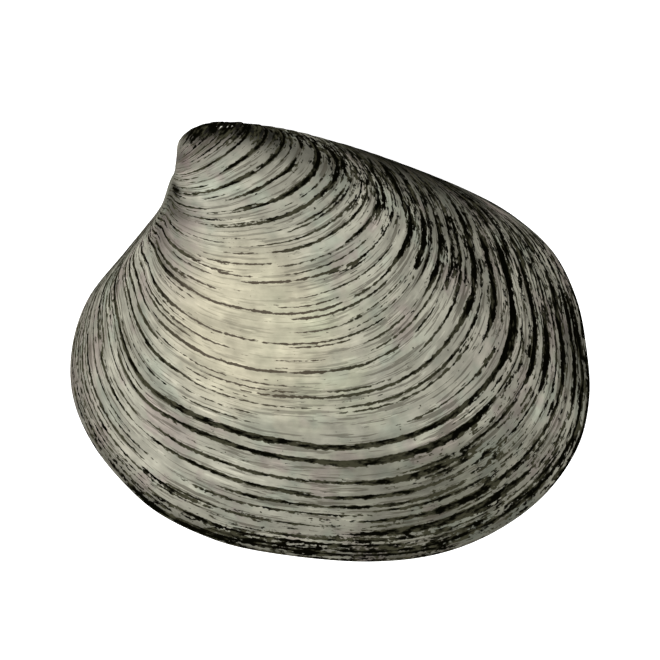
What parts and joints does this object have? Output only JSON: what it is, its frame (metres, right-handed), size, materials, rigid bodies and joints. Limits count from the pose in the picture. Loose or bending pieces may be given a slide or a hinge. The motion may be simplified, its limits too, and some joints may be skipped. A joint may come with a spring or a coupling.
{
  "type": "clementia grayi shell, left valve",
  "caption": "Left valve of a Clementia clam shell, grey and cream with dark concentric growth ridges and a forward beak, lying on its rim with the outside up",
  "frame": {"origin": "centre of the valve's outline on the plane that its rim rests on", "axes": "+X towards the hind end, +Y towards the hinge and beak, +Z out of the domed outside"},
  "size_m": [0.0702, 0.0594, 0.0185],
  "materials": {
    "shell": "satin"
  },
  "bodies": {
    "root": {"valve": "shell"}
  },
  "joints": []
}
